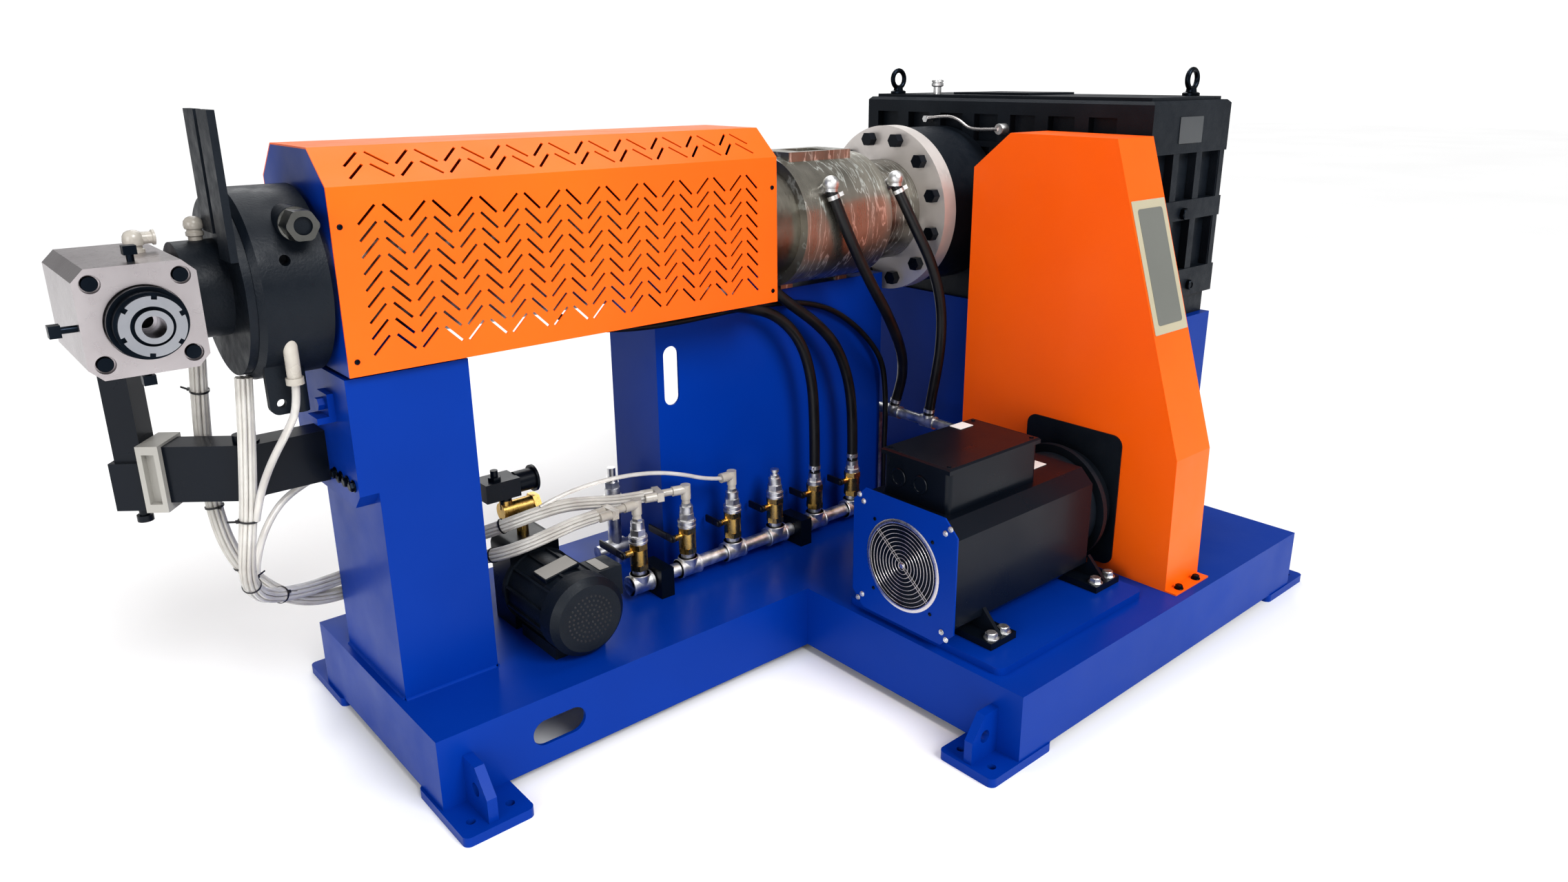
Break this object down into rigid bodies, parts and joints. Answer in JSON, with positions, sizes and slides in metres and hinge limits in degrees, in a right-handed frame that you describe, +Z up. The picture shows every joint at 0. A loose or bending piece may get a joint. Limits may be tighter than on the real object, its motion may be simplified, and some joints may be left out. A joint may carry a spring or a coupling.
{
  "type": "plastic extruder",
  "caption": "Single-screw plastic extruder on a welded base: slotted barrel cover, side-outlet crosshead, flanged feed section, gearbox, belt guard, motor and a cooling-water valve manifold.",
  "frame": {"origin": "on the floor under the middle of the whole machine's bounding box", "axes": "+X along the barrel from the crosshead to the gearbox, +Z up, the drive motor is on the -Y side"},
  "size_m": [2.646, 1.36, 1.3659],
  "materials": {
    "blue_paint": "gloss",
    "orange_paint": "satin",
    "black_iron": "satin paint",
    "black_paint": "satin",
    "grey_paint": "matt",
    "steel": "machined",
    "dark_steel": "blackened",
    "brass": "satin",
    "galvanised": "galvanised",
    "lever_black": "dipped",
    "black_rubber": "smooth",
    "clear_tube": "clear",
    "white_plastic": "gloss"
  },
  "bodies": {
    "machine": {"adapter_neck": "black_iron", "arm_end_bracket": "grey_paint", "barrel": "steel", "barrel_flange": "steel", "base_limb": "blue_paint", "base_platform": "blue_paint", "belt_guard": "orange_paint", "cable_harness": "black_rubber", "centring_bolts": "dark_steel", "clamp_housing": "black_iron", "cover_ends": "blue_paint", "cover_sides": "orange_paint", "cover_slopes": "orange_paint", "cover_top": "orange_paint", "crosshead_block": "steel", "die_ring_nut": "dark_steel", "die_rings": "steel", "fan_grille": "steel", "feed_section": "steel", "flange_bolts": "black_paint", "foot_plates": "blue_paint", "front_pillar": "blue_paint", "gearbox_fittings": "black_paint", "gearbox_housing": "black_iron", "gearbox_pedestal": "blue_paint", "hose_1": "black_rubber", "hose_2": "black_rubber", "hose_3": "black_rubber", "hose_4": "black_rubber", "motor_body": "black_paint", "motor_end_bell": "black_iron", "motor_fan_plate": "blue_paint", "motor_feet": "black_paint", "motor_slide_plate": "blue_paint", "output_hub": "black_iron", "pillar_front_plate": "blue_paint", "pipe_clamps": "black_paint", "pipe_fittings": "galvanised", "pump_body": "black_paint", "pump_motor": "black_iron", "pump_valve": "brass", "push_in_fittings": "white_plastic", "stand_frame": "blue_paint", "stand_front": "blue_paint", "support_arm": "black_paint", "support_post": "black_paint", "terminal_box": "black_paint", "tube_bundle_front": "clear_tube", "tube_bundle_rear": "clear_tube", "tube_clamp": "clear_tube", "tube_elbow": "clear_tube", "tube_pillar": "clear_tube", "valve_bodies": "brass", "water_pipes": "galvanised"},
    "valve_lever_1": {"valve_lever_1": "lever_black"},
    "valve_lever_2": {"valve_lever_2": "lever_black"},
    "valve_lever_3": {"valve_lever_3": "lever_black"},
    "valve_lever_4": {"valve_lever_4": "lever_black"},
    "valve_lever_5": {"valve_lever_5": "lever_black"},
    "valve_lever_6": {"valve_lever_6": "lever_black"}
  },
  "joints": [
    {"name": "valve_lever_1_turn", "type": "hinge", "parent": "machine", "child": "valve_lever_1", "pos_m": [-0.323, 0.192, 0.291], "axis": [1, 0, 0], "range_deg": [0, 90]},
    {"name": "valve_lever_2_turn", "type": "hinge", "parent": "machine", "child": "valve_lever_2", "pos_m": [-0.1835, 0.192, 0.291], "axis": [1, 0, 0], "range_deg": [0, 90]},
    {"name": "valve_lever_3_turn", "type": "hinge", "parent": "machine", "child": "valve_lever_3", "pos_m": [-0.044, 0.192, 0.291], "axis": [1, 0, 0], "range_deg": [0, 90]},
    {"name": "valve_lever_4_turn", "type": "hinge", "parent": "machine", "child": "valve_lever_4", "pos_m": [0.0955, 0.192, 0.291], "axis": [1, 0, 0], "range_deg": [0, 90]},
    {"name": "valve_lever_5_turn", "type": "hinge", "parent": "machine", "child": "valve_lever_5", "pos_m": [0.235, 0.192, 0.291], "axis": [1, 0, 0], "range_deg": [0, 90]},
    {"name": "valve_lever_6_turn", "type": "hinge", "parent": "machine", "child": "valve_lever_6", "pos_m": [0.3745, 0.192, 0.291], "axis": [1, 0, 0], "range_deg": [0, 90]}
  ]
}
